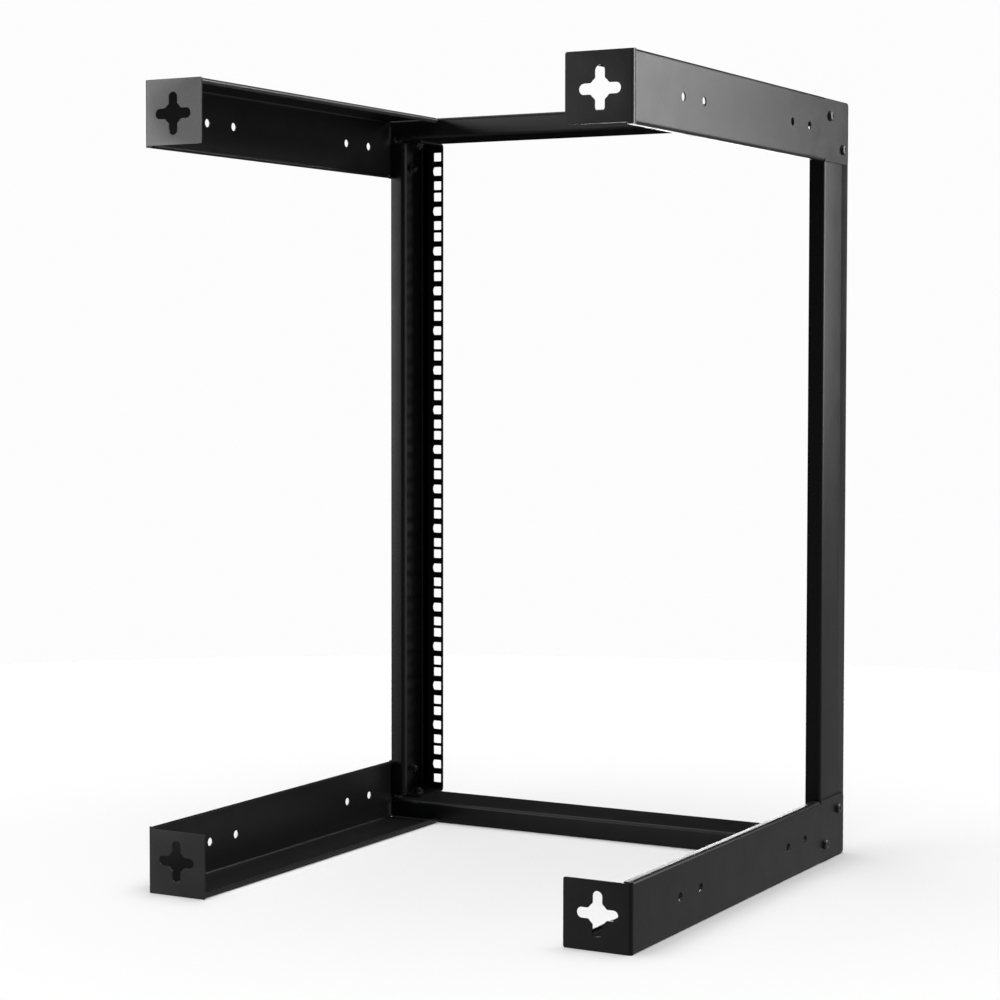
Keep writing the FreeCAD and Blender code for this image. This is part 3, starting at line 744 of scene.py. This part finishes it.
for number, (corner, side, level) in enumerate(CORNERS):
    seats = []
    for screw, (back, inset) in enumerate(ARM_SCREWS, start=1):
        spot = np.array([side * HALF_WIDTH, RACK_FRONT - back, level * (HALF_HEIGHT - inset)])
        seats.append(("_arm_bolt_" + str(screw), "_arm_nut_" + str(screw), spot, side, False))
    spot = np.array([side * beam_screw_place, POST_REAR + BEAM_SCREW[1], level * (BEAM_LEVEL + PLATE)])
    seats.append(("_beam_bolt", "_beam_nut", spot, level, True))
    for seat, (bolt_name, nut_name, spot, way, upright) in enumerate(seats):
        turn = TURN_AT_CORNER * number + TURN_AT_SEAT * seat
        through = np.array([0, 0, way * stack]) if upright else np.array([way * stack, 0, 0])
        bolt = turned_piece(corner + bolt_name + "_steel", screw_radius, screw_height,
                            fastener_place(spot, way, upright, turn), plating)
        nut = turned_piece(corner + nut_name + "_steel", nut_radius, nut_height,
                           fastener_place(spot - through, way, upright, NUT_TURN * turn), plating)
        for piece, node in ((bolt, corner + bolt_name), (nut, corner + nut_name)):
            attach(piece, "root")
            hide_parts(node)


# THE ROOM
# A plain pale floor under the rack and soft light: a sky that glows overhead and near the floor,
# and soft lamps in front of the rack and beside the camera, some of them flagged off from parts
# of the frame. The floor stays out of reflections, since the frame's undersides are black.

FLOOR_LEVEL = -HALF_HEIGHT * MM
FLOOR_RADIUS = 2.0
FLOOR_SIDES = 96
SKY_GLOW = 3.5
FLOOR_GLOW = 0.5
BACKDROP = 0.98

floor_x, floor_y = arc_points((0, 0), FLOOR_RADIUS, 0, 360, FLOOR_SIDES)[:-1].T
floor_mesh = bpy.data.meshes.new("floor")
floor_ring = np.stack([floor_x, floor_y, np.full(FLOOR_SIDES, FLOOR_LEVEL)], 1)
floor_mesh.from_pydata(floor_ring, [], [list(range(FLOOR_SIDES))])
floor = bpy.data.objects.new("floor", floor_mesh)
bpy.context.collection.objects.link(floor)
pale = bpy.data.materials.new("pale floor")
pale.use_nodes = True
paint = pale.node_tree.nodes["Principled BSDF"]
paint.inputs["Base Color"].default_value = (0.84, 0.84, 0.84, 1)
paint.inputs["Roughness"].default_value = 0.9
paint.inputs["Specular IOR Level"].default_value = 0.1
floor_mesh.materials.append(pale)
floor.visible_glossy = False

world = bpy.data.worlds.new("soft studio")
bpy.context.scene.world = world
world.use_nodes = True
sky_nodes, sky_links = world.node_tree.nodes, world.node_tree.links
sky = sky_nodes["Background"]
sky.inputs["Color"].default_value = (1, 1, 1, 1)
direction = sky_nodes.new("ShaderNodeTexCoord")
parts = sky_nodes.new("ShaderNodeSeparateXYZ")
sky_links.new(direction.outputs["Generated"], parts.inputs["Vector"])


def ease(value, start, end, strength):
    """A smooth step: nothing where the value is at start, and the strength where it is at end."""
    step = sky_nodes.new("ShaderNodeMapRange")
    step.interpolation_type = "SMOOTHSTEP"
    step.inputs["From Min"].default_value = start
    step.inputs["From Max"].default_value = end
    step.inputs["To Max"].default_value = strength
    sky_links.new(value, step.inputs["Value"])
    return step.outputs["Result"]


def scaled_sum(value, scale, more):
    """Value times scale, plus more. The scale is a number or another node's value."""
    sum_node = sky_nodes.new("ShaderNodeMath")
    sum_node.operation = "MULTIPLY_ADD"
    sky_links.new(value, sum_node.inputs[0])
    if isinstance(scale, float):
        sum_node.inputs[1].default_value = scale
    else:
        sky_links.new(scale, sum_node.inputs[1])
    sky_links.new(more, sum_node.inputs[2])
    return sum_node.outputs["Value"]


aside = scaled_sum(parts.outputs["Y"], -0.6, parts.outputs["X"])
overhead = ease(parts.outputs["Z"], 0.6, 1.0, SKY_GLOW)
below = ease(parts.outputs["Z"], 0.0, -0.15, FLOOR_GLOW)
away_from_left = ease(aside, -0.75, -0.3, 1.0)
seen = sky_nodes.new("ShaderNodeLightPath")
glow = sky_nodes.new("ShaderNodeMix")
sky_links.new(seen.outputs["Is Camera Ray"], glow.inputs["Factor"])
sky_links.new(scaled_sum(below, away_from_left, overhead), glow.inputs["A"])
glow.inputs["B"].default_value = BACKDROP
sky_links.new(glow.outputs["Result"], sky.inputs["Strength"])
bpy.context.scene.view_settings.view_transform = "Standard"


def softbox(name, place, target, width, height, power, linked, state):
    """A soft rectangular light that faces its target.

    Linked gives the beginnings of the names of the pieces that it lights alone (state INCLUDE),
    or that are flagged off from it together with the floor (state EXCLUDE).
    """
    group = bpy.data.collections.new(name)
    if state == "EXCLUDE":
        group.objects.link(floor)
    dressed = [piece for piece in bpy.data.objects if piece.name.endswith(("_sheet", "_steel"))]
    for piece in dressed:
        if piece.name.startswith(linked):
            group.objects.link(piece)
    for member in group.collection_objects:
        member.light_linking.link_state = state
    light = bpy.data.lights.new(name, "AREA")
    light.shape = "RECTANGLE"
    light.size, light.size_y = width, height
    light.energy = power
    lamp = bpy.data.objects.new(name, light)
    bpy.context.collection.objects.link(lamp)
    lamp.visible_camera = False
    lamp.light_linking.receiver_collection = group
    lamp.location = place
    away = np.array(target) - np.array(place)
    level = math.hypot(away[0], away[1])
    lamp.rotation_euler = (math.atan2(level, -away[2]), 0, math.atan2(-away[0], away[1]))


left_side = ("left_post", "top_left", "bottom_left")
left_arms = ("top_left_arm_sheet", "bottom_left_arm_sheet")
right_arms = ("top_right_arm_sheet", "bottom_right_arm_sheet")
softbox("right of the rack", (1.32, 1.2, 0.57), (0.2, 0.3, 0.2), 1.0, 1.2, 40, left_side, "EXCLUDE")
softbox("left of the camera", (-2.55, -1.9, 0.45), (-0.2, 0.2, 0.0), 1.5, 1.65, 150,
        ("left_post", "right_post"), "EXCLUDE")
softbox("left of the camera, dimmed", (-2.55, -1.9, 0.55), (-0.2, 0.2, 0.0), 1.5, 1.8, 72,
        ("left_post",), "INCLUDE")
softbox("right of the camera", (3.0, -0.7, 0.6), (0.25, 0.0, 0.1), 0.5, 1.6, 300,
        ("top_right_arm_sheet",), "INCLUDE")
softbox("right of the camera, dimmed", (3.0, -0.7, 0.6), (0.25, 0.0, 0.1), 0.5, 1.6, 130,
        left_arms, "INCLUDE")
softbox("front, to the left", (-0.95, 2.9, 0.0), (0.25, 0.2, 0.0), 0.6, 0.7, 16, right_arms, "INCLUDE")
softbox("front, overhead", (0.9, 1.9, 1.5), (-0.2, 0.2, 0.3), 0.8, 0.8, 34, left_arms, "INCLUDE")
softbox("front, to the right", (1.1, 3.1, 0.5), (-0.25, 0.47, 0.0), 1.4, 2.2, 9, ("left_post",), "INCLUDE")

eye = bpy.data.cameras.new("camera")
eye.lens = 87.9
eye.sensor_width = 36
eye.shift_x = -0.0018
eye.shift_y = -0.036
camera = bpy.data.objects.new("camera", eye)
bpy.context.collection.objects.link(camera)
camera.location = (1.1514, -1.8615, 0.1231)
down, roll, turn = 0.0427, -0.0013, 0.5025
camera.rotation_euler = (math.pi / 2 - down, roll, turn)
bpy.context.scene.camera = camera
